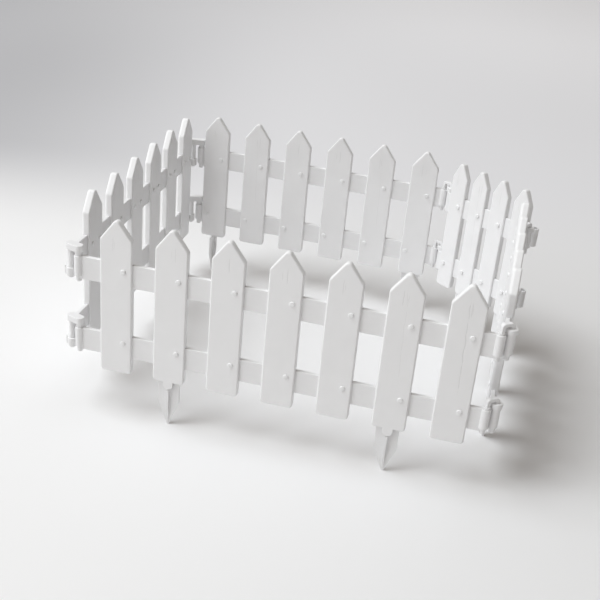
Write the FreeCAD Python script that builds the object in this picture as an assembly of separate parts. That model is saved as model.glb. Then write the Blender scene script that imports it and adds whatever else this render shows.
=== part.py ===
import FreeCAD, Part
import math
import os

from FreeCAD import Vector

# Ring of low picket fence panels, hooked together at their corners.
# Millimetres. +X runs along the front panel to the right, +Y to the back, +Z up.
# The origin is moved to the middle of the footprint, at the stake tips, at the end.

# Pickets, with a crisp face and a softer back; the height runs to where the two slopes would meet,
# above the rounded tip
picket_height = 258.5
shoulder_height = 224.0
picket_thickness = 14.0
picket_width = 51.0
narrow_picket_width = 36.0
apex_radius = 6.0
shoulder_radius = 6.0
foot_radius = 6.0
picket_face_edge_radius = 2.5
picket_back_edge_radius = 5.5

# Rails, which run through slots in the pickets
rail_height = 38.0
rail_thickness = 6.5
rail_edge_chamfer = 0.8
lower_rail_bottom = 27.0
upper_rail_bottom = 149.0
slot_clearance = 0.15

# How far a cut runs past the face that it opens, the share of a half width that a full rounding
# takes, so that its two arcs stay apart, and how near two places count as the same
cut_overrun = 1.0
full_rounding_share = 0.99
same_place = 1e-6

# Stakes under some of the pickets
stake_length = 78.0
stake_width = 35.0
stake_straight = 36.0
stake_blade_thickness = 4.0
stake_tip_width = 3.0
stake_corner_radius = 3.0
rib_thickness = 3.2
rib_reach = 6.5
rib_tip_reach = 1.6
rib_slope = 4.0
peg_side = 8.0
peg_length = 14.0
peg_clearance = 0.15

# Half-round tabs that hide the top of a stake
tab_width = 16.0
tab_drop = 12.0
tab_thickness = 3.0
tab_clearance = 0.4
tab_edge_radius = 0.8

# Barrels and low rings at the rail ends; above a ring the rail slopes away to clear the link
pin_radius = 4.5
barrel_wall = 2.75
barrel_rise = 4.5
ring_height = 14.0
ring_slope_run = 18.0
side_barrel_offset = 7.0
barrel_rim_chamfer = 0.8
pin_fit = 0.15
pin_running_clearance = 0.3
pin_end_drop = 10.0
ring_pin_drop = 4.0
pin_end_rounding = 3.0
barrel_gap = 1.5
barrel_radius = pin_radius + barrel_wall
link_spacing = 2 * barrel_radius + barrel_gap

# Links that join two barrels: a broad plate over a barrel and a ring, or an arched strap over two
# barrels, from a low neck on the first to a cap that rests on the second
plate_lift = 6.0
plate_thickness = 10.5
strap_lift = 11.5
strap_thickness = 5.5
strap_width = 8.0
strap_shoulder_radius = 6.0
strap_inner_radius = 2.5
link_edge_radius = 1.2
neck_step = 1.0
neck_height = 3.0
cap_height = 8.0
cap_overhang = 2.0
cap_rounding = 1.5
cap_gap = 0.3

# Each panel: the distance between its end barrels, the gaps from their sides to the nearest
# pickets, and about how far its pickets stand apart. Directions are degrees from +X.
front_length = 633.7
front_start_gap = 29.95
front_end_gap = 16.25
front_picket_gap = 36.0

left_direction = 91.1
left_length = 578.0
left_start_gap = 61.55
left_end_gap = 2.95
left_picket_gap = 38.6

back_direction = -1.56
back_length = 499.0
back_start_gap = 1.85
back_end_gap = 8.65
back_picket_gap = 33.6

# The short corner panel is set across the back right corner
corner_direction = -37.5
corner_length = 206.0
corner_start_gap = 2.75
corner_end_gap = 2.75
corner_picket_gap = 14.0

# The right panel runs from the front panel's end towards the corner panel's, turned a little
# inwards, and stops short of it there, where the ring is unhooked
right_swing = 2.5
right_open_gap = 35.0
right_start_gap = 40.25
right_end_gap = 2.25
right_picket_gap = 21.5

# Directions in which the links reach from their own barrel to the next panel's
front_left_link_angle = 163.0
front_right_link_angle = 35.0
back_left_link_angle = 197.4
back_corner_link_angle = -26.4


def heading(angle):
    """Unit vector on the ground at an angle in degrees from +X."""
    turn = math.radians(angle)
    return Vector(math.cos(turn), math.sin(turn), 0)


def rounded_outline(points, radii):
    """Closed wire through points, each corner rounded by a tangent arc of its radius."""
    edges = []
    leave = []
    reach = []
    for i, corner in enumerate(points):
        before = (points[i - 1] - corner).normalize()
        after = (points[(i + 1) % len(points)] - corner).normalize()
        radius = radii[i]
        if radius == 0:
            reach.append(corner)
            leave.append(corner)
            edges.append(None)
            continue
        half = before.getAngle(after) / 2
        back_off = radius / math.tan(half)
        middle = (before + after).normalize()
        centre = corner + middle * (radius / math.sin(half))
        start = corner + before * back_off
        end = corner + after * back_off
        reach.append(start)
        leave.append(end)
        edges.append(Part.Arc(start, centre - middle * radius, end).toShape())
    outline = []
    for i in range(len(points)):
        if edges[i]:
            outline.append(edges[i])
        outline.append(Part.makeLine(leave[i], reach[(i + 1) % len(points)]))
    return Part.Wire(outline)


def plate(points, radii, depth):
    """Solid of the rounded outline, extruded by the vector depth."""
    return Part.Face(rounded_outline(points, radii)).extrude(depth)


def edges_on(shape, y):
    """Edges that lie wholly in the plane at y."""
    boxes = [(e, e.BoundBox) for e in shape.Edges]
    return [e for e, box in boxes if abs(box.YMin - y) < same_place and abs(box.YMax - y) < same_place]


def circles(shape):
    """Round edges of a cylinder's two ends."""
    return [e for e in shape.Edges if e.Curve.TypeId == "Part::GeomCircle"]


def tab(y, outer):
    """Half-round tab under a picket's foot, from y on by its thickness, eased round its outer face."""
    half = tab_width / 2
    top = foot_radius
    corners = [
        Vector(-half, y, top),
        Vector(half, y, top),
        Vector(half, y, -tab_drop),
        Vector(-half, y, -tab_drop),
    ]
    rounding = full_rounding_share * half
    body = plate(corners, [0, 0, rounding, rounding], Vector(0, tab_thickness, 0))
    return body.makeFillet(tab_edge_radius, edges_on(body, outer))


def picket(width, tabs, peg_hole):
    """Pointed picket with slots for both rails, centred on x = 0 and on its thickness."""
    half = width / 2
    front = -picket_thickness / 2
    corners = [
        Vector(-half, front, 0),
        Vector(half, front, 0),
        Vector(half, front, shoulder_height),
        Vector(0, front, picket_height),
        Vector(-half, front, shoulder_height),
    ]
    radii = [foot_radius, foot_radius, shoulder_radius, apex_radius, shoulder_radius]
    body = plate(corners, radii, Vector(0, picket_thickness, 0))
    body = body.makeFillet(picket_back_edge_radius, edges_on(body, -front))
    body = body.makeFillet(picket_face_edge_radius, edges_on(body, front))
    if tabs:
        body = body.fuse([tab(front, front), tab(-front - tab_thickness, -front)]).removeSplitter()
    slot = Vector(width, rail_thickness, rail_height)
    slot += Vector(cut_overrun, slot_clearance, slot_clearance) * 2
    for rail_bottom in (lower_rail_bottom, upper_rail_bottom):
        low = Vector(-slot.x / 2, -slot.y / 2, rail_bottom - slot_clearance)
        body = body.cut(Part.makeBox(slot.x, slot.y, slot.z, low))
    if peg_hole:
        side = peg_side + 2 * peg_clearance
        hole = Part.makeBox(side, side, peg_length + peg_clearance, Vector(-side / 2, -side / 2, 0))
        body = body.cut(hole)
    return body


def stake(turned):
    """Pointed ground stake with a cross rib and a square peg, top at z = 0."""
    half = stake_width / 2
    tip = stake_tip_width / 2
    blade_front = -stake_blade_thickness / 2
    corners = [
        Vector(-half, blade_front, 0),
        Vector(-half, blade_front, -stake_straight),
        Vector(-tip, blade_front, -stake_length),
        Vector(tip, blade_front, -stake_length),
        Vector(half, blade_front, -stake_straight),
        Vector(half, blade_front, 0),
    ]
    radii = [0, stake_corner_radius, 0, 0, stake_corner_radius, 0]
    blade = plate(corners, radii, Vector(0, stake_blade_thickness, 0))
    behind_tab = picket_thickness / 2 - tab_thickness - tab_clearance
    side = -rib_thickness / 2
    profile = [
        Vector(side, behind_tab, 0),
        Vector(side, behind_tab, -tab_drop - tab_clearance),
        Vector(side, rib_reach, -tab_drop - tab_clearance - rib_slope),
        Vector(side, rib_reach, -stake_straight),
        Vector(side, rib_tip_reach, -stake_length),
    ]
    mirrored = [Vector(p.x, -p.y, p.z) for p in reversed(profile)]
    rib = plate(profile + mirrored, [0] * (2 * len(profile)), Vector(rib_thickness, 0, 0))
    peg = Part.makeBox(peg_side, peg_side, peg_length, Vector(-peg_side / 2, -peg_side / 2, 0))
    solid = blade.fuse([rib, peg]).removeSplitter()
    if turned:
        solid.rotate(Vector(0, 0, 0), Vector(0, 0, 1), 90)
    return solid


def barrel(x, rail_bottom, height, from_bottom):
    """Upright barrel at a rail's end, with its rims eased."""
    body = Part.makeCylinder(barrel_radius, height, Vector(x, 0, rail_bottom + from_bottom))
    return body.makeChamfer(barrel_rim_chamfer, circles(body))


def ring_relief(x, inward, side, rail_bottom):
    """What is cut from a rail above its ring at x: flat over the ring, then sloping up along the rail."""
    ring_top = rail_bottom + ring_height
    above = rail_bottom + rail_height + cut_overrun
    face = side - rail_thickness / 2 - cut_overrun
    points = [
        Vector(x - inward * cut_overrun, face, ring_top),
        Vector(x + inward * barrel_radius, face, ring_top),
        Vector(x + inward * (barrel_radius + ring_slope_run), face, above),
        Vector(x - inward * cut_overrun, face, above),
    ]
    return plate(points, [0] * len(points), Vector(0, rail_thickness + 2 * cut_overrun, 0))


def rail(panel, rail_bottom):
    """One rail with a barrel at each end, both drilled for a pin."""
    side = panel["rail_side"]
    length = panel["length"]
    low = Vector(0, side - rail_thickness / 2, rail_bottom)
    bar = Part.makeBox(length, rail_thickness, rail_height, low)
    long_edges = [e for e in bar.Edges if e.BoundBox.XLength > length / 2]
    bar = bar.makeChamfer(rail_edge_chamfer, long_edges)
    barrels = []
    bores = []
    for x, inward, end in ((0.0, 1, panel["start"]), (length, -1, panel["end"])):
        if end["socket"] == "ring":
            bar = bar.cut(ring_relief(x, inward, side, rail_bottom))
            barrels.append(barrel(x, rail_bottom, ring_height, 0.0))
        else:
            barrels.append(barrel(x, rail_bottom, rail_height - barrel_rise, barrel_rise))
        fit = pin_fit if end["link"] else pin_running_clearance
        bore_start = Vector(x, 0, rail_bottom - cut_overrun)
        bores.append(Part.makeCylinder(pin_radius + fit, rail_height + 2 * cut_overrun, bore_start))
    return bar.fuse(barrels).removeSplitter().cut(bores)


def pin(place, bottom, top):
    """Link pin with a rounded lower end."""
    body = Part.makeCylinder(pin_radius, top - bottom, Vector(place.x, place.y, bottom))
    lower_rim = [e for e in circles(body) if e.BoundBox.ZMax - bottom < same_place]
    return body.makeFillet(pin_end_rounding, lower_rim)


def bridge(own, other, half_width, bottom, thickness):
    """Flat bar with round ends that spans both places."""
    along = (other - own).normalize() * half_width
    across = Vector(-along.y, along.x, 0)
    lift = Vector(0, 0, bottom)
    corners = [
        own - along - across + lift,
        other + along - across + lift,
        other + along + across + lift,
        own - along + across + lift,
    ]
    body = plate(corners, [full_rounding_share * half_width] * 4, Vector(0, 0, thickness))
    return body.makeFillet(link_edge_radius, [e for e in body.Edges if e.BoundBox.ZLength < same_place])


def strap(own, other, own_bottom, other_bottom, top):
    """Band that rises from one place, turns over and comes down on the other."""
    reach = other - own
    half = strap_thickness / 2
    side = -strap_width / 2
    corners = [
        Vector(-half, side, own_bottom),
        Vector(-half, side, top),
        Vector(reach.Length + half, side, top),
        Vector(reach.Length + half, side, other_bottom),
        Vector(reach.Length - half, side, other_bottom),
        Vector(reach.Length - half, side, top - strap_thickness),
        Vector(half, side, top - strap_thickness),
        Vector(half, side, own_bottom),
    ]
    outer = strap_shoulder_radius
    inner = strap_inner_radius
    body = plate(corners, [0, outer, outer, 0, 0, inner, inner, 0], Vector(0, strap_width, 0))
    body = body.makeFillet(link_edge_radius, edges_on(body, side) + edges_on(body, -side))
    body.rotate(Vector(0, 0, 0), Vector(0, 0, 1), math.degrees(math.atan2(reach.y, reach.x)))
    body.translate(own)
    return body


def cap(place, bottom):
    """Round cap that rests on a barrel, with its upper rim rounded."""
    body = Part.makeCylinder(barrel_radius + cap_overhang, cap_height, Vector(place.x, place.y, bottom))
    upper_rim = [e for e in circles(body) if e.BoundBox.ZMin - bottom > cap_height / 2]
    return body.makeFillet(cap_rounding, upper_rim)


def link(own, other, rail_bottom, ring_socket):
    """Hooked link: a plate or a strap over two barrels, with a pin down through each."""
    rail_top = rail_bottom + rail_height
    neck_bottom = rail_top + cap_gap
    pin_end = rail_bottom + barrel_rise - pin_end_drop
    if ring_socket:
        over = bridge(own, other, barrel_radius, rail_top + plate_lift, plate_thickness)
        own_pin_top = rail_top + plate_lift + plate_thickness / 2
        neck_top = own_pin_top
        pieces = [pin(other, rail_bottom - ring_pin_drop, own_pin_top)]
    else:
        neck_top = neck_bottom + neck_height
        own_pin_top = neck_bottom + neck_height / 2
        cap_middle = neck_bottom + cap_height / 2
        over = strap(own, other, own_pin_top, cap_middle, rail_top + strap_lift + strap_thickness)
        pieces = [pin(other, pin_end, cap_middle), cap(other, neck_bottom)]
    pieces.append(pin(own, pin_end, own_pin_top))
    neck_place = Vector(own.x, own.y, neck_bottom)
    pieces.append(Part.makeCylinder(pin_radius + neck_step, neck_top - neck_bottom, neck_place))
    return over.fuse(pieces).removeSplitter()


def link_pair(own, other, ring_socket):
    """The upper and the lower link of one corner."""
    return [link(own, other, z, ring_socket) for z in (lower_rail_bottom, upper_rail_bottom)]


def picket_places(panel):
    """Distances along the panel of its pickets' centres, spread evenly between its end gaps."""
    width = panel["width"]
    first = barrel_radius + panel["start_gap"] + width / 2
    last = panel["length"] - barrel_radius - panel["end_gap"] - width / 2
    steps = max(1, round((last - first) / (width + panel["picket_gap"])))
    return [first + (last - first) * i / steps for i in range(steps + 1)]


def make_panel(panel):
    """The panel's pickets, rails and stakes, each a list of solids in the layout's frame."""
    plain = picket(panel["width"], False, False)
    tabbed = picket(panel["width"], True, True)
    holed = picket(panel["width"], False, True)
    pickets = []
    stakes = []
    for number, along in enumerate(picket_places(panel), start=1):
        place = Vector(along, panel["rail_side"], 0)
        if number in panel["staked"]:
            pickets.append(tabbed.translated(place))
            stakes.append(stake(False).translated(place))
        elif number in panel["edge_on"]:
            pickets.append(holed.translated(place))
            stakes.append(stake(True).translated(place))
        else:
            pickets.append(plain.translated(place))
    made = {
        "pickets": pickets,
        "upper_rail": [rail(panel, upper_rail_bottom)],
        "lower_rail": [rail(panel, lower_rail_bottom)],
        "stakes": stakes,
    }
    for solids in made.values():
        for solid in solids:
            solid.rotate(Vector(0, 0, 0), Vector(0, 0, 1), panel["direction"])
            solid.translate(panel["at"])
    return made


def far_end(panel):
    """Centre of the barrel at the panel's far end."""
    return panel["at"] + heading(panel["direction"]) * panel["length"]


# staked and edge_on number the pickets that carry a stake, broad side or edge to the front
front = {
    "at": Vector(0, 0, 0), "direction": 0.0, "length": front_length, "rail_side": 0.0,
    "start_gap": front_start_gap, "end_gap": front_end_gap, "picket_gap": front_picket_gap,
    "width": picket_width, "staked": (2, 6), "edge_on": (),
    "start": {"socket": "barrel", "link": True}, "end": {"socket": "barrel", "link": True},
}
left = {
    "at": front["at"] + heading(front_left_link_angle) * link_spacing,
    "direction": left_direction, "length": left_length, "rail_side": side_barrel_offset,
    "start_gap": left_start_gap, "end_gap": left_end_gap, "picket_gap": left_picket_gap,
    "width": picket_width, "staked": (2, 5), "edge_on": (),
    "start": {"socket": "ring", "link": False}, "end": {"socket": "ring", "link": False},
}
back = {
    "at": far_end(left) - heading(back_left_link_angle) * link_spacing,
    "direction": back_direction, "length": back_length, "rail_side": 0.0,
    "start_gap": back_start_gap, "end_gap": back_end_gap, "picket_gap": back_picket_gap,
    "width": picket_width, "staked": (6,), "edge_on": (1,),
    "start": {"socket": "barrel", "link": True}, "end": {"socket": "barrel", "link": True},
}
corner = {
    "at": far_end(back) + heading(back_corner_link_angle) * link_spacing,
    "direction": corner_direction, "length": corner_length, "rail_side": -side_barrel_offset,
    "start_gap": corner_start_gap, "end_gap": corner_end_gap, "picket_gap": corner_picket_gap,
    "width": narrow_picket_width, "staked": (2, 4), "edge_on": (),
    "start": {"socket": "barrel", "link": False}, "end": {"socket": "barrel", "link": False},
}
right_at = far_end(front) + heading(front_right_link_angle) * link_spacing
across_gap = far_end(corner) - right_at
right = {
    "at": right_at,
    "direction": math.degrees(math.atan2(across_gap.y, across_gap.x)) + right_swing,
    "length": across_gap.Length - right_open_gap, "rail_side": side_barrel_offset,
    "start_gap": right_start_gap, "end_gap": right_end_gap, "picket_gap": right_picket_gap,
    "width": picket_width, "staked": (2, 4), "edge_on": (),
    "start": {"socket": "barrel", "link": False}, "end": {"socket": "barrel", "link": True},
}
panels = {"front": front, "left": left, "back": back, "corner": corner, "right": right}

nodes = {}
for panel_name, panel in panels.items():
    for piece_name, solids in make_panel(panel).items():
        nodes[f"{panel_name}_{piece_name}"] = solids

nodes["front_left_links"] = link_pair(front["at"], left["at"], True)
nodes["front_right_links"] = link_pair(far_end(front), right["at"], False)
nodes["back_left_links"] = link_pair(back["at"], far_end(left), True)
nodes["back_corner_links"] = link_pair(far_end(back), corner["at"], False)

# The right panel's last link is unhooked: its pin stands free beside the corner panel's barrel.
free_pin = far_end(right) + (far_end(corner) - far_end(right)).normalize() * link_spacing
nodes["right_corner_links"] = link_pair(far_end(right), free_pin, False)

# Bottom centre of everything becomes the origin.
whole = Part.makeCompound([s for solids in nodes.values() for s in solids]).optimalBoundingBox()
to_origin = Vector(-whole.Center.x, -whole.Center.y, -whole.ZMin)

os.makedirs("parts", exist_ok=True)
for name, solids in nodes.items():
    shape = Part.makeCompound(solids) if len(solids) > 1 else solids[0]
    shape.translate(to_origin)
    if not shape.isValid():
        raise ValueError(f"{name} is not a valid shape")
    shape.exportStep(f"parts/{name}.step")
    print(name, len(solids), "solids", round(shape.Volume / 1000, 1), "cm3")

print("size", round(whole.XLength, 2), round(whole.YLength, 2), round(whole.ZLength, 2))
hinges = {"left": left["at"], "back": far_end(left), "corner": corner["at"], "right": right["at"]}
for name, axis in hinges.items():
    print("hinge", name, round(axis.x + to_origin.x, 3), round(axis.y + to_origin.y, 3))
print("shift", round(to_origin.x, 3), round(to_origin.y, 3), round(to_origin.z, 3))
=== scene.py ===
import math

import bmesh
import bpy
from mathutils import Euler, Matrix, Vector


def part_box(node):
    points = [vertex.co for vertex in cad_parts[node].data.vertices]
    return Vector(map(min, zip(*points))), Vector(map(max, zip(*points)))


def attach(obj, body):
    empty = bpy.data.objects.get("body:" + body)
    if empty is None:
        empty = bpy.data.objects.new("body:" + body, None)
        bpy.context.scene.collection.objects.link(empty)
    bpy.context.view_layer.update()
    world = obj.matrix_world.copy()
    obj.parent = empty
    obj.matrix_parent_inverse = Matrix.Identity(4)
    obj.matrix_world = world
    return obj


# White plastic picket fence, five panels hooked into a ring, on a pale studio floor. Metres.
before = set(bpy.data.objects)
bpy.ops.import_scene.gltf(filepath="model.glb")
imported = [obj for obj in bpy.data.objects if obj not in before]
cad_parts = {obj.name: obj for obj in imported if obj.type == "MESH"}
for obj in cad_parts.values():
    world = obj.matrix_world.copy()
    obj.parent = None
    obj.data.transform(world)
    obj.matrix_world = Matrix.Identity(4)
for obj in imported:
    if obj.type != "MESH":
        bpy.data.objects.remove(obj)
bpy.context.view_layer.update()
mm = 0.001
weldDistance = 0.01 * mm  # corner points of a CAD mesh nearer than this are one point


def toLinear(hexColour):
    parts = [int(hexColour[i:i + 2], 16) / 255 for i in (1, 3, 5)]
    linear = [p / 12.92 if p <= 0.04045 else ((p + 0.055) / 1.055) ** 2.4 for p in parts]
    return (*linear, 1.0)


def addNode(tree, kind, inputs=None, **settings):
    # An input is a plain value, a socket, or a node, which gives its first output
    node = tree.nodes.new(kind)
    for key, value in settings.items():
        setattr(node, key, value)
    for key, value in (inputs or {}).items():
        if isinstance(value, bpy.types.Node):
            value = value.outputs[0]
        if isinstance(value, bpy.types.NodeSocket):
            tree.links.new(value, node.inputs[key])
        else:
            node.inputs[key].default_value = value
    return node


# What is read from the CAD frame: where each panel's pickets stand, and how high its rails run
panelHeadings = {
    "front": (1, 0), "left": (0, 1), "back": (1, 0), "corner": (1, -1), "right": (0, 1),
}
panels = {}


def solidsOf(nodeName):
    # The node's separate solids, each as a list of corner points
    work = bmesh.new()
    work.from_mesh(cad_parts[nodeName].data)
    bmesh.ops.remove_doubles(work, verts=work.verts, dist=weldDistance)
    left = set(work.verts)
    solids = []
    while left:
        reached = [left.pop()]
        solid = []
        while reached:
            vert = reached.pop()
            solid.append(vert.co.copy())
            for edge in vert.link_edges:
                other = edge.other_vert(vert)
                if other in left:
                    left.remove(other)
                    reached.append(other)
        solids.append(solid)
    work.free()
    return solids


def readPanel(name):
    heading = Vector((*panelHeadings[name], 0))
    pickets = solidsOf(f"{name}_pickets")
    middles = []
    for points in pickets:
        low = Vector([min(p[i] for p in points) for i in range(3)])
        high = Vector([max(p[i] for p in points) for i in range(3)])
        middles.append((low + high) / 2)
    middles.sort(key=heading.dot)
    along = middles[-1] - middles[0]
    pitch = along.xy.length / (len(middles) - 1)
    along.z = 0
    along.normalize()
    across = Vector((along.y, -along.x, 0))
    offsets = [(p - middles[0]).dot(across) for points in pickets for p in points]
    places = [Vector((m.x, m.y, 0)) for m in middles]
    railBottoms = {level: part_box(f"{name}_{level}_rail")[0].z for level in ("upper", "lower")}
    return {
        "along": along, "across": across, "pitch": pitch, "places": places,
        "halfThickness": (max(offsets) - min(offsets)) / 2, "railBottoms": railBottoms,
    }


for name in panelHeadings:
    panels[name] = readPanel(name)
    print(f"{name} panel read, {len(panels[name]['places'])} pickets")

# Camera: fitted to the front and back panels' pickets
camera = {
    "lens": 58.608,
    "sensor": 36.0,
    "place": (0.28707, -1.53666, 0.88014),
    "yaw": 0.205643,
    "pitch": -0.456330,
    "roll": -0.0950899,
    "seesTo": 60,
}


def makeCamera():
    data = bpy.data.cameras.new("photoCamera")
    data.lens = camera["lens"]
    data.sensor_width = camera["sensor"]
    data.sensor_fit = "HORIZONTAL"
    data.dof.use_dof = False
    data.clip_end = camera["seesTo"]
    made = bpy.data.objects.new("photoCamera", data)
    turn = Euler((0, 0, camera["yaw"])).to_matrix() @ Euler((camera["pitch"], 0, 0)).to_matrix()
    turn = turn @ Euler((0, camera["roll"], 0)).to_matrix() @ Euler((math.pi / 2, 0, 0)).to_matrix()
    made.matrix_world = turn.to_4x4()
    made.location = camera["place"]
    bpy.context.scene.collection.objects.link(made)
    bpy.context.scene.camera = made


makeCamera()
print("camera placed")

# Moulded polypropylene: an opaque, slightly waxy white with a soft wide highlight
mouldedWhite = {
    "ior": 1.49,
    "roughness": 0.46,
    "roughnessSpread": 0.07,
    "texture": 1.6 * mm,  # peel of the mould face, far coarser than real, so that it shows
    "textureDepth": 0.025 * mm,
    "blush": 38 * mm,  # size of the cloudy patches where the melt cooled unevenly
    "blushRoughness": 0.55,  # how broken the patches' edges are
    "blushLow": 0.3,  # from here to blushHigh the patches turn the gloss down
    "blushHigh": 0.7,
}


def startMaterial(name):
    material = bpy.data.materials.new(name)
    material.use_nodes = True
    tree = material.node_tree
    shader = tree.nodes["Principled BSDF"]
    place = addNode(tree, "ShaderNodeTexCoord").outputs["Object"]
    return material, tree, shader, place


def finishPlastic(tree, shader, place, colour, shade, height, depth):
    # Shared by every moulded white piece: cloudy colour, uneven gloss, and relief from height
    blush = addNode(tree, "ShaderNodeTexNoise", {
        "Vector": place, "Scale": 1 / mouldedWhite["blush"], "Detail": 3.0,
        "Roughness": mouldedWhite["blushRoughness"]})
    clouded = addNode(tree, "ShaderNodeMix", {
        "Factor": blush.outputs["Fac"], "A": toLinear(shade), "B": colour}, data_type="RGBA")
    gloss = addNode(tree, "ShaderNodeMapRange", {
        "Value": blush.outputs["Fac"], "From Min": mouldedWhite["blushLow"],
        "From Max": mouldedWhite["blushHigh"],
        "To Min": mouldedWhite["roughness"] - mouldedWhite["roughnessSpread"],
        "To Max": mouldedWhite["roughness"] + mouldedWhite["roughnessSpread"]})
    peel = addNode(tree, "ShaderNodeTexNoise", {
        "Vector": place, "Scale": 1 / mouldedWhite["texture"], "Detail": 2.0})
    peelBump = addNode(tree, "ShaderNodeBump", {
        "Height": peel.outputs["Fac"], "Distance": mouldedWhite["textureDepth"], "Strength": 1.0})
    bump = addNode(tree, "ShaderNodeBump", {
        "Height": height, "Distance": depth, "Strength": 1.0, "Normal": peelBump.outputs["Normal"]})
    tree.links.new(clouded.outputs["Result"], shader.inputs["Base Color"])
    tree.links.new(gloss.outputs["Result"], shader.inputs["Roughness"])
    tree.links.new(bump.outputs["Normal"], shader.inputs["Normal"])
    shader.inputs["IOR"].default_value = mouldedWhite["ior"]


# Picket plastic: moulded with a hint of wood grain, a few thin upright scores near the tip and,
# on some pickets, one long wandering score; each score is a groove coloured dark grey as painted
# shade
picketPlastic = {
    "white": "#f1f1f2",
    "shade": "#ebebec",
    # The scores' dark grey is painted shade, standing for the shadow in their grooves
    "shadedScore": "#b6b6b6",
    "scoreWidth": 1.3 * mm,
    "scoreDepth": 0.45 * mm,
    "foot": 78 * mm,  # height of the pickets' lower ends
    # Short scores near the tip, from one height above the foot to another
    "shortScores": 3,
    "shortLow": 203 * mm,
    "shortHigh": 232 * mm,
    "shortLowStep": 5 * mm,  # each next one starts so much higher and ends so much lower
    "shortHighStep": 6 * mm,
    "shortFade": 7 * mm,
    "shortSpread": 13 * mm,
    "shortWander": 1.5 * mm,  # how far a score strays sideways over each run of its length
    "shortRun": 9 * mm,
    "shortStrength": 0.55,
    "shortStrengthStep": 0.15,
    # Long scores, which fade in and out in patches
    "longLow": 75 * mm,
    "longHigh": 247 * mm,
    "longFade": 22 * mm,
    "longTilt": -0.03,  # sideways for each metre of its length
    "longWander": 4 * mm,
    "longRun": 34 * mm,
    "patch": 16 * mm,
    "patchLow": 0.32,
    "patchHigh": 0.5,
    "patchLeast": 0.25,
    # Pickets with a long score, counted from 0, and how strongly it shows
    "longScores": {"front": ((6, 0.6), (5, 0.3)), "left": ((3, 0.5),), "back": ((1, 0.3), (4, 0.3)),
                   "corner": ((1, 0.4),), "right": ((0, 0.6), (3, 0.5))},
    # Grain streaks: width, length and depth
    "streak": 2.4 * mm,
    "streakRun": 75 * mm,
    "streakDepth": 0.03 * mm,
    # Steps in the noise that make pickets, their scores and a score's path differ
    "picketSeed": 3.7,
    "pathSeed": 5.3,
    "scoreSeed": 11.3,
}


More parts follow.
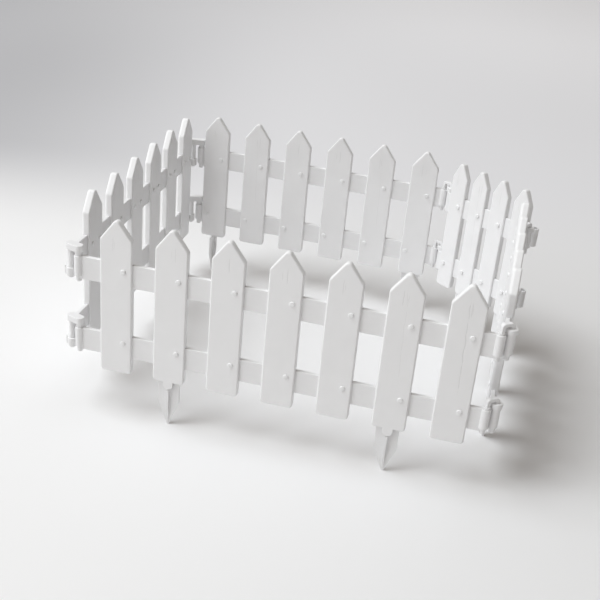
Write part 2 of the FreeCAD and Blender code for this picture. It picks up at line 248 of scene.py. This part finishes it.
def makePicketPlastic(name):
    look = picketPlastic
    panel = panels[name]
    material, tree, shader, place = startMaterial(f"{name}PicketPolypropylene")

    # Picket's own coordinates: aside across its face from its middle line, up from its foot
    angle = math.atan2(panel["along"].y, panel["along"].x)
    moved = addNode(tree, "ShaderNodeVectorMath", {
        0: place, 1: panel["places"][0]}, operation="SUBTRACT")
    turned = addNode(tree, "ShaderNodeVectorRotate", {
        "Vector": moved, "Angle": -angle}, rotation_type="Z_AXIS")
    own = addNode(tree, "ShaderNodeSeparateXYZ", {0: turned})
    pitches = addNode(tree, "ShaderNodeMath", {
        0: own.outputs["X"], 1: panel["pitch"]}, operation="DIVIDE")
    number = addNode(tree, "ShaderNodeMath", {0: pitches}, operation="ROUND")
    middle = addNode(tree, "ShaderNodeMath", {0: number, 1: panel["pitch"]}, operation="MULTIPLY")
    aside = addNode(tree, "ShaderNodeMath", {0: own.outputs["X"], 1: middle}, operation="SUBTRACT")
    up = addNode(tree, "ShaderNodeMath", {
        0: own.outputs["Z"], 1: look["foot"]}, operation="SUBTRACT")
    side = addNode(tree, "ShaderNodeMath", {0: own.outputs["Y"]}, operation="SIGN")
    seed = addNode(tree, "ShaderNodeMath", {
        0: number, 1: look["picketSeed"], 2: side}, operation="MULTIPLY_ADD")

    def between(value, low, high, soft):
        # 1 from low to high, fading out over soft at both ends
        rising = addNode(tree, "ShaderNodeMapRange", {
            "Value": value, "From Min": low, "From Max": low + soft},
            interpolation_type="SMOOTHSTEP")
        falling = addNode(tree, "ShaderNodeMapRange", {
            "Value": value, "From Min": high, "From Max": high - soft},
            interpolation_type="SMOOTHSTEP")
        return addNode(tree, "ShaderNodeMath", {0: rising, 1: falling}, operation="MULTIPLY")

    def shadedScore(offset, wander, run, low, high, soft):
        # One thin score line, wandering by so much over each run of its length; it gives both the
        # groove and the painted shade in it
        begun = addNode(tree, "ShaderNodeMath", {
            0: seed, 1: look["pathSeed"]}, operation="MULTIPLY")
        along = addNode(tree, "ShaderNodeMath", {
            0: up, 1: 1 / run, 2: begun}, operation="MULTIPLY_ADD")
        path = addNode(tree, "ShaderNodeTexNoise", {
            "W": along, "Scale": 1.0, "Detail": 2.0}, noise_dimensions="1D")
        centred = addNode(tree, "ShaderNodeMath", {
            0: path.outputs["Fac"], 1: 0.5}, operation="SUBTRACT")
        strayed = addNode(tree, "ShaderNodeMath", {0: centred, 1: wander}, operation="MULTIPLY")
        line = addNode(tree, "ShaderNodeMath", {0: offset, 1: strayed}, operation="ADD")
        beside = addNode(tree, "ShaderNodeMath", {0: aside, 1: line}, operation="SUBTRACT")
        away = addNode(tree, "ShaderNodeMath", {0: beside}, operation="ABSOLUTE")
        thin = addNode(tree, "ShaderNodeMapRange", {
            "Value": away, "From Min": 0.0, "From Max": look["scoreWidth"] / 2,
            "To Min": 1.0, "To Max": 0.0}, interpolation_type="SMOOTHSTEP")
        return addNode(tree, "ShaderNodeMath", {
            0: thin, 1: between(up, low, high, soft)}, operation="MULTIPLY")

    def strongest(scores, added, strength):
        # The scores so far with one more, at its own strength
        toned = addNode(tree, "ShaderNodeMath", {0: added, 1: strength}, operation="MULTIPLY")
        return addNode(tree, "ShaderNodeMath", {0: scores, 1: toned}, operation="MAXIMUM")

    scores = 0.0
    for i in range(look["shortScores"]):
        turn = addNode(tree, "ShaderNodeMath", {0: seed, 1: look["scoreSeed"] * i}, operation="ADD")
        chance = addNode(tree, "ShaderNodeTexWhiteNoise", {"W": turn}, noise_dimensions="1D")
        centred = addNode(tree, "ShaderNodeMath", {
            0: chance.outputs["Value"], 1: 0.5}, operation="SUBTRACT")
        offset = addNode(tree, "ShaderNodeMath", {
            0: centred, 1: look["shortSpread"]}, operation="MULTIPLY")
        # The second and third scores are shorter and fainter
        low = look["shortLow"] + look["shortLowStep"] * i
        high = look["shortHigh"] - look["shortHighStep"] * i
        short = shadedScore(offset, look["shortWander"], look["shortRun"], low, high, look["shortFade"])
        scores = strongest(scores, short, look["shortStrength"] - look["shortStrengthStep"] * i)
    for index, strength in look["longScores"][name]:
        chosen = addNode(tree, "ShaderNodeMath", {
            0: number, 1: float(index), 2: 0.5}, operation="COMPARE")
        below = addNode(tree, "ShaderNodeMath", {0: up, 1: look["longHigh"]}, operation="SUBTRACT")
        offset = addNode(tree, "ShaderNodeMath", {
            0: below, 1: look["longTilt"]}, operation="MULTIPLY")
        long = shadedScore(offset, look["longWander"], look["longRun"], look["longLow"], look["longHigh"],
                     look["longFade"])
        patchPlace = addNode(tree, "ShaderNodeMath", {
            0: up, 1: 1 / look["patch"]}, operation="MULTIPLY")
        patches = addNode(tree, "ShaderNodeTexNoise", {
            "W": patchPlace, "Scale": 1.0}, noise_dimensions="1D")
        broken = addNode(tree, "ShaderNodeMapRange", {
            "Value": patches.outputs["Fac"], "From Min": look["patchLow"],
            "From Max": look["patchHigh"], "To Min": look["patchLeast"]})
        onPicket = addNode(tree, "ShaderNodeMath", {0: long, 1: chosen}, operation="MULTIPLY")
        shown = addNode(tree, "ShaderNodeMath", {0: onPicket, 1: broken}, operation="MULTIPLY")
        scores = strongest(scores, shown, strength)
    # Painted shade: the scores are coloured dark grey, as if their grooves lay in shadow
    colour = addNode(tree, "ShaderNodeMix", {
        "Factor": scores, "A": toLinear(look["white"]), "B": toLinear(look["shadedScore"])},
        data_type="RGBA")
    # Faint upright streaks of the mould's grain
    streakAcross = addNode(tree, "ShaderNodeMath", {
        0: aside, 1: look["streak"]}, operation="DIVIDE")
    streakUp = addNode(tree, "ShaderNodeMath", {0: up, 1: look["streakRun"]}, operation="DIVIDE")
    grainPlace = addNode(tree, "ShaderNodeCombineXYZ", {"X": streakAcross, "Z": streakUp})
    streaks = addNode(tree, "ShaderNodeTexNoise", {
        "Vector": grainPlace, "W": seed, "Scale": 1.0, "Detail": 2.0}, noise_dimensions="4D")
    ridges = addNode(tree, "ShaderNodeMath", {
        0: streaks.outputs["Fac"], 1: look["streakDepth"]}, operation="MULTIPLY")
    grooves = addNode(tree, "ShaderNodeMath", {
        0: scores, 1: look["scoreDepth"]}, operation="MULTIPLY")
    relief = addNode(tree, "ShaderNodeMath", {0: ridges, 1: grooves}, operation="SUBTRACT")
    finishPlastic(tree, shader, place, colour.outputs["Result"], look["shade"], relief, 1.0)
    return material


# Rails, stakes, links and rivet heads: the same plastic without grain, with faint flow lines.
# flow is how often the lines repeat along x, y and z, per millimetre
plainPlastics = {
    "rail": {
        "white": "#f0f0f1", "shade": "#e9e9ea", "flow": (0.05, 0.05, 1 / 6), "depth": 0.03 * mm,
    },
    "stake": {
        "white": "#eeeeef", "shade": "#e6e6e7", "flow": (1 / 4, 1 / 4, 1 / 50), "depth": 0.04 * mm,
    },
    "link": {
        "white": "#f0f0f1", "shade": "#e8e8e9", "flow": (1 / 8, 1 / 8, 1 / 8), "depth": 0.03 * mm,
    },
    "rivetHead": {
        "white": "#f1f1f2", "shade": "#ebebec", "flow": (1 / 3, 1 / 3, 1 / 3), "depth": 0.02 * mm,
    },
}


def makePlainPlastic(name):
    look = plainPlastics[name]
    material, tree, shader, place = startMaterial(f"{name}Polypropylene")
    perMetre = [share / mm for share in look["flow"]]
    scale = addNode(tree, "ShaderNodeVectorMath", {0: place, 1: perMetre}, operation="MULTIPLY")
    flow = addNode(tree, "ShaderNodeTexNoise", {
        "Vector": scale, "Scale": 1.0, "Detail": 2.0})
    white = addNode(tree, "ShaderNodeMix", {
        "Factor": flow.outputs["Fac"], "A": toLinear(look["white"]), "B": toLinear(look["shade"])},
        data_type="RGBA")
    finishPlastic(tree, shader, place, white.outputs["Result"], look["shade"], flow.outputs["Fac"],
                  look["depth"])
    return material


materials = {name: makePlainPlastic(name) for name in plainPlastics}
for name in panels:
    materials[f"{name}Picket"] = makePicketPlastic(name)


def dressNode(nodeName, material):
    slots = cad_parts[nodeName].material_slots
    if not slots:
        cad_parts[nodeName].data.materials.append(material)
    for used in slots:
        used.material = material


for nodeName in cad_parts:
    if nodeName.endswith("_pickets"):
        dressNode(nodeName, materials[nodeName.replace("_pickets", "Picket")])
    elif nodeName.endswith("_rail"):
        dressNode(nodeName, materials["rail"])
    elif nodeName.endswith("_stakes"):
        dressNode(nodeName, materials["stake"])
    else:
        dressNode(nodeName, materials["link"])
print("plastics made and given to the CAD pieces")

# Rivet heads on the picket faces: domes pressed over the ends of the pins that hold the rails
rivetHeads = {
    "diameter": 8.2 * mm,
    "height": 1.9 * mm,
    "roundness": 5.0,  # 2 is an ellipse, more is flatter on top with a steeper rim
    "segments": 24,
    "rings": 14,
    # For each panel: rail, offset along it from the picket's middle, height above its lower edge
    "places": {
        "front": (("upper", 12.0 * mm, 26.5 * mm), ("lower", 12.0 * mm, 26.8 * mm)),
        "left": (("upper", -13.0 * mm, 19.5 * mm), ("upper", 13.0 * mm, 19.5 * mm)),
        "back": (("upper", 10.2 * mm, 19.8 * mm), ("lower", -15.5 * mm, 21.5 * mm)),
        "corner": (("upper", 7.0 * mm, 20.0 * mm), ("lower", -7.0 * mm, 21.0 * mm)),
        "right": (("upper", 12.0 * mm, 26.5 * mm), ("lower", 12.0 * mm, 26.8 * mm)),
    },
}


def makeRivetTree():
    tree = bpy.data.node_groups.new("rivetHeadTree", "GeometryNodeTree")
    sockets = {}
    for name, kind in (("Geometry", "Geometry"), ("Diameter", "Float"), ("Height", "Float"),
                       ("Roundness", "Float"), ("Plastic", "Material")):
        sockets[name] = tree.interface.new_socket(
            name=name, in_out="INPUT", socket_type=f"NodeSocket{kind}")
    tree.interface.new_socket(name="Geometry", in_out="OUTPUT", socket_type="NodeSocketGeometry")
    given = addNode(tree, "NodeGroupInput").outputs
    ball = addNode(tree, "GeometryNodeMeshUVSphere", {
        "Segments": rivetHeads["segments"], "Rings": rivetHeads["rings"], "Radius": 1.0})
    position = addNode(tree, "GeometryNodeInputPosition")
    parts = addNode(tree, "ShaderNodeSeparateXYZ", {0: position})
    flat = addNode(tree, "ShaderNodeVectorMath", {
        0: position, 1: (1.0, 1.0, 0.0)}, operation="MULTIPLY")
    outward = addNode(tree, "ShaderNodeVectorMath", {0: flat}, operation="LENGTH")
    # Dome height at a distance r from the middle: (1 - r^n)^(1/n), so the rim stands steep
    capped = addNode(tree, "ShaderNodeMath", {
        0: outward.outputs["Value"], 1: 1.0}, operation="MINIMUM")
    raised = addNode(tree, "ShaderNodeMath", {0: capped, 1: given["Roundness"]}, operation="POWER")
    rest = addNode(tree, "ShaderNodeMath", {0: 1.0, 1: raised}, operation="SUBTRACT")
    root = addNode(tree, "ShaderNodeMath", {0: 1.0, 1: given["Roundness"]}, operation="DIVIDE")
    dome = addNode(tree, "ShaderNodeMath", {0: rest, 1: root}, operation="POWER")
    upDown = addNode(tree, "ShaderNodeMath", {0: parts.outputs["Z"]}, operation="SIGN")
    tall = addNode(tree, "ShaderNodeMath", {0: dome, 1: given["Height"]}, operation="MULTIPLY")
    rise = addNode(tree, "ShaderNodeMath", {0: tall, 1: upDown}, operation="MULTIPLY")
    radius = addNode(tree, "ShaderNodeMath", {0: given["Diameter"], 1: 0.5}, operation="MULTIPLY")
    x = addNode(tree, "ShaderNodeMath", {0: parts.outputs["X"], 1: radius}, operation="MULTIPLY")
    y = addNode(tree, "ShaderNodeMath", {0: parts.outputs["Y"], 1: radius}, operation="MULTIPLY")
    place = addNode(tree, "ShaderNodeCombineXYZ", {"X": x, "Y": y, "Z": rise})
    domed = addNode(tree, "GeometryNodeSetPosition", {"Geometry": ball, "Position": place})
    facing = addNode(tree, "GeometryNodeInputNamedAttribute", {
        "Name": "facing"}, data_type="FLOAT_VECTOR")
    turn = addNode(tree, "FunctionNodeAlignRotationToVector", {
        "Vector": facing.outputs["Attribute"]}, axis="Z")
    heads = addNode(tree, "GeometryNodeInstanceOnPoints", {
        "Points": given["Geometry"], "Instance": domed, "Rotation": turn})
    real = addNode(tree, "GeometryNodeRealizeInstances", {"Geometry": heads})
    smooth = addNode(tree, "GeometryNodeSetShadeSmooth", {"Geometry": real})
    painted = addNode(tree, "GeometryNodeSetMaterial", {
        "Geometry": smooth, "Material": given["Plastic"]})
    addNode(tree, "NodeGroupOutput", {"Geometry": painted})
    return tree, sockets


def grow(name, points, facings, tree, values):
    # Runs a tree over points, each with the way it faces, and keeps the result as a plain mesh
    seedMesh = bpy.data.meshes.new(f"{name}Points")
    seedMesh.from_pydata(points, [], [])
    facing = seedMesh.attributes.new("facing", "FLOAT_VECTOR", "POINT")
    for i, direction in enumerate(facings):
        facing.data[i].vector = direction
    made = bpy.data.objects.new(name, seedMesh)
    bpy.context.scene.collection.objects.link(made)
    modifier = made.modifiers.new("grow", "NODES")
    modifier.node_group = tree
    for identifier, value in values.items():
        modifier[identifier] = value
    evaluated = made.evaluated_get(bpy.context.evaluated_depsgraph_get())
    mesh = bpy.data.meshes.new_from_object(evaluated)
    mesh.name = name
    made.modifiers.clear()
    made.data = mesh
    bpy.data.meshes.remove(seedMesh)
    return made


rivetTree, rivetSockets = makeRivetTree()
for name, panel in panels.items():
    points = []
    facings = []
    for place in panel["places"]:
        for level, offset, rise in rivetHeads["places"][name]:
            for side in (1, -1):
                outward = panel["across"] * side
                point = place + panel["along"] * offset + outward * panel["halfThickness"]
                point.z = panel["railBottoms"][level] + rise
                points.append(point)
                facings.append(outward)
    heads = grow(f"{name}RivetHeads", points, facings, rivetTree, {
        rivetSockets["Diameter"].identifier: rivetHeads["diameter"],
        rivetSockets["Height"].identifier: rivetHeads["height"],
        rivetSockets["Roundness"].identifier: rivetHeads["roundness"],
        rivetSockets["Plastic"].identifier: materials["rivetHead"],
    })
    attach(heads, name)
print("rivet heads set")

# Studio: pale floor with its colour painted darker away from the lamps as painted shade, two soft
# lamps at the left and a dim sky
studio = {
    "floorSize": 24.0,
    "floorRoughness": 0.95,
    "floorGloss": 0.1,
    "fibre": 3 * mm,  # the paper's fibres, coarser than real
    "fibreDepth": 0.02 * mm,
    "fibreStrength": 0.6,
    "floorTurn": 0.205643,  # the photo camera's heading, in radians; the floor's tones follow it
    # The floor's tone goes from left to right, from one place to another, in metres. The second
    # and third pair fade in behind the fence. Fitted to how the photo's floor darkens
    # These tones are painted shade: the floor's colour goes darker to the left and far behind,
    # where the light falls off
    "paintedFloorShade": (
        {"left": "#f3f3f4", "right": "#e8e8e9", "from": -0.70, "to": 0.56},
        {"left": "#bcbcbf", "right": "#e6e6e9", "from": -1.20, "to": 0.01, "fade": (0.40, 1.10)},
        {"left": "#a5a5a8", "right": "#f3f3f6", "from": -2.90, "to": 1.02, "fade": (1.60, 3.60)},
    ),
    "lampAim": (0.0, 0.0, 0.1),
    # Place, diameter and power of each lamp: one high at the left, one lower towards the front
    "lamps": {
        "keyLamp": ((-5.9, -2.16, 10.9), 7.8, 1080.0),
        "sideLamp": ((-9.36, -6.54, 5.34), 7.8, 300.0),
    },
    "lampColour": (0.965, 1.003, 1.03),
    "skyColour": (1.10, 1.01, 0.91),
    "skyFrom": (-0.61, -0.30, 0.73),  # the sky's brightest side, up at the left, and how it fades
    "skyFadeStart": -0.3,
    "skyDim": 0.10,
    "skyBright": 0.43,
    "backdrop": "#e4e4e7",  # how pale the sky looks to the camera, without lighting the fence more
}


def makeFloorMaterial():
    # Matt paper sweep: flat and pale, with no gloss
    material, tree, shader, place = startMaterial("paperSweep")
    turned = addNode(tree, "ShaderNodeVectorRotate", {
        "Vector": place, "Angle": -studio["floorTurn"]}, rotation_type="Z_AXIS")
    own = addNode(tree, "ShaderNodeSeparateXYZ", {0: turned})
    tone = None
    # Painted shade: the tone pairs darken the floor's colour to the left and far behind
    for pair in studio["paintedFloorShade"]:
        across = addNode(tree, "ShaderNodeMapRange", {
            "Value": own.outputs["X"], "From Min": pair["from"], "From Max": pair["to"]},
            interpolation_type="SMOOTHSTEP")
        blended = addNode(tree, "ShaderNodeMix", {
            "Factor": across, "A": toLinear(pair["left"]), "B": toLinear(pair["right"])},
            data_type="RGBA").outputs["Result"]
        if tone is None:
            tone = blended
            continue
        away = addNode(tree, "ShaderNodeMapRange", {
            "Value": own.outputs["Y"], "From Min": pair["fade"][0], "From Max": pair["fade"][1]},
            interpolation_type="SMOOTHSTEP")
        tone = addNode(tree, "ShaderNodeMix", {
            "Factor": away, "A": tone, "B": blended}, data_type="RGBA").outputs["Result"]
    fibres = addNode(tree, "ShaderNodeTexNoise", {
        "Vector": place, "Scale": 1 / studio["fibre"], "Detail": 2.0})
    relief = addNode(tree, "ShaderNodeBump", {
        "Height": fibres.outputs["Fac"], "Distance": studio["fibreDepth"],
        "Strength": studio["fibreStrength"]})
    tree.links.new(tone, shader.inputs["Base Color"])
    tree.links.new(relief.outputs["Normal"], shader.inputs["Normal"])
    shader.inputs["Roughness"].default_value = studio["floorRoughness"]
    shader.inputs["Specular IOR Level"].default_value = studio["floorGloss"]
    return material


def makeStudio():
    half = studio["floorSize"] / 2
    mesh = bpy.data.meshes.new("studioFloor")
    corners = [(-half, -half, 0), (half, -half, 0), (half, half, 0), (-half, half, 0)]
    mesh.from_pydata(corners, [], [(0, 1, 2, 3)])
    mesh.materials.append(makeFloorMaterial())
    floor = bpy.data.objects.new("studioFloor", mesh)
    bpy.context.scene.collection.objects.link(floor)

    for name, (place, size, power) in studio["lamps"].items():
        lamp = bpy.data.lights.new(name, "AREA")
        lamp.shape = "DISK"
        lamp.size = size
        lamp.energy = power
        lamp.color = studio["lampColour"]
        made = bpy.data.objects.new(name, lamp)
        made.location = place
        facing = Vector(place) - Vector(studio["lampAim"])
        made.rotation_euler = facing.to_track_quat("Z", "Y").to_euler()
        bpy.context.scene.collection.objects.link(made)

    world = bpy.data.worlds.new("studioSky")
    world.use_nodes = True
    tree = world.node_tree
    background = tree.nodes["Background"]
    # The camera and the gloss see the backdrop's plain tone, and the rest gets the sky's light
    rays = addNode(tree, "ShaderNodeLightPath").outputs
    seen = addNode(tree, "ShaderNodeMath", {
        0: rays["Is Camera Ray"], 1: rays["Is Glossy Ray"]}, operation="MAXIMUM")
    way = addNode(tree, "ShaderNodeTexCoord").outputs["Generated"]
    lean = addNode(tree, "ShaderNodeVectorMath", {
        0: way, 1: studio["skyFrom"]}, operation="DOT_PRODUCT")
    glow = addNode(tree, "ShaderNodeMapRange", {
        "Value": lean.outputs["Value"], "From Min": studio["skyFadeStart"],
        "To Min": studio["skyDim"], "To Max": studio["skyBright"]})
    strength = addNode(tree, "ShaderNodeMapRange", {
        "Value": seen, "To Min": glow, "To Max": 1.0})
    colour = addNode(tree, "ShaderNodeMix", {
        "Factor": seen, "A": (*studio["skyColour"], 1.0),
        "B": toLinear(studio["backdrop"])}, data_type="RGBA")
    tree.links.new(strength.outputs["Result"], background.inputs["Strength"])
    tree.links.new(colour.outputs["Result"], background.inputs["Color"])
    bpy.context.scene.world = world


makeStudio()
bpy.context.scene.view_settings.view_transform = "Standard"
print("studio lit")
